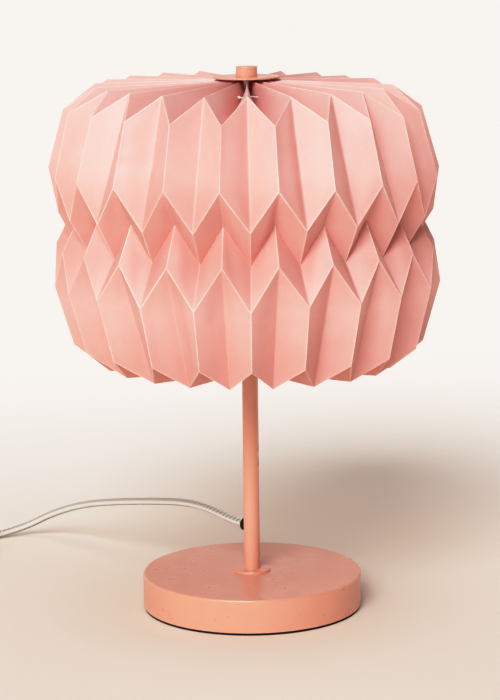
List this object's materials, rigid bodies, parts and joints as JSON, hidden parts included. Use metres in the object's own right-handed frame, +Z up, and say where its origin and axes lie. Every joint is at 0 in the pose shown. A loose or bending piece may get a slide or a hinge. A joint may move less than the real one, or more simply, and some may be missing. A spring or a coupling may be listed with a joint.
{
  "type": "pleated paper table lamp",
  "caption": "Table lamp with a round weighted base, a slim stem and a drum shade of chevron-pleated paper that hangs from a top hub round the bulb, with a mains lead, inline switch and plug.",
  "frame": {"origin": "on the table top, at the stem's axis", "axes": "+Z up along the stem; -Y is the front, the picture's side; +X to the right"},
  "size_m": [0.4839, 0.3867, 0.4449],
  "materials": {
    "foam_black": "matt closed-cell foam",
    "paint_salmon": "satin powder coat",
    "cement": "rough cast cement",
    "zinc_steel": "zinc plated",
    "rubber_black": "matt",
    "core_brown": "insulated wire",
    "core_blue": "insulated wire",
    "plastic_white": "moulded, satin",
    "ceramic_white": "unglazed porcelain",
    "brass": "stamped",
    "bulb_metal": "rolled thread",
    "opal": "opal white",
    "paper_pink": "matt sheet, creased",
    "string_white": "twisted thread",
    "cord_textile": "braided herringbone, white and grey",
    "tie_black": "hook-and-loop strip",
    "plastic_switch": "moulded",
    "plastic_rocker": "moulded",
    "plastic_plug": "moulded",
    "pin_metal": "nickel plated"
  },
  "bodies": {
    "root": {"base_pad": "foam_black", "base_cover": "paint_salmon", "base_weight": "cement", "base_flat_washer": "zinc_steel", "base_lock_washer": "zinc_steel", "base_bolt": "zinc_steel", "stem_tube": "paint_salmon", "stem_foot_bush": "zinc_steel", "stem_collar": "paint_salmon", "top_nipple": "zinc_steel", "cord_grommet": "rubber_black", "lead_live": "core_brown", "lead_neutral": "core_blue", "harp_strap": "paint_salmon", "holder_lock_nut": "zinc_steel", "stud_nut": "zinc_steel", "shade_stud": "zinc_steel", "holder_cap": "plastic_white", "holder_skirt": "plastic_white", "holder_insert": "ceramic_white", "holder_screw_shell": "brass", "holder_centre_contact": "brass", "holder_terminal_screws": "brass", "cord_lead_a": "cord_textile", "cord_lead_b": "cord_textile", "cord_tail": "cord_textile", "cord_coil": "cord_textile", "coil_tie": "tie_black", "switch_base": "plastic_switch", "switch_cover": "plastic_switch", "switch_screws": "zinc_steel", "switch_contacts": "brass", "plug_body": "plastic_plug", "plug_pins": "pin_metal"},
    "hub": {"support_disc": "zinc_steel", "spacer_sleeve": "zinc_steel", "cap_disc": "paint_salmon"},
    "shade": {"paper_shade": "paper_pink", "gather_string": "string_white"},
    "knob": {"finial": "paint_salmon"},
    "bulb": {"bulb_cap": "bulb_metal", "bulb_tip_contact": "bulb_metal", "bulb_housing": "plastic_white", "bulb_glass": "opal"},
    "rocker": {"switch_rocker": "plastic_rocker"}
  },
  "joints": [
    {"name": "shade_lift", "type": "slide", "parent": "root", "child": "hub", "axis": [0, 0, 1], "range_m": [0, 0.26]},
    {"name": "shade_turn", "type": "hinge", "parent": "hub", "child": "shade", "pos_m": [0, 0, 0.42], "axis": [0, 0, 1], "continuous": true},
    {"name": "knob_turn", "type": "hinge", "parent": "hub", "child": "knob", "pos_m": [0, 0, 0.44], "axis": [0, 0, 1], "continuous": true},
    {"name": "bulb_turn", "type": "hinge", "parent": "root", "child": "bulb", "pos_m": [0, 0, 0.3], "axis": [0, 0, 1], "continuous": true},
    {"name": "switch_rock", "type": "hinge", "parent": "root", "child": "rocker", "pos_m": [-0.25004, 0.14455, 0.0152], "axis": [0.9981, 0.061, 0], "range_deg": [0, 14]}
  ]
}
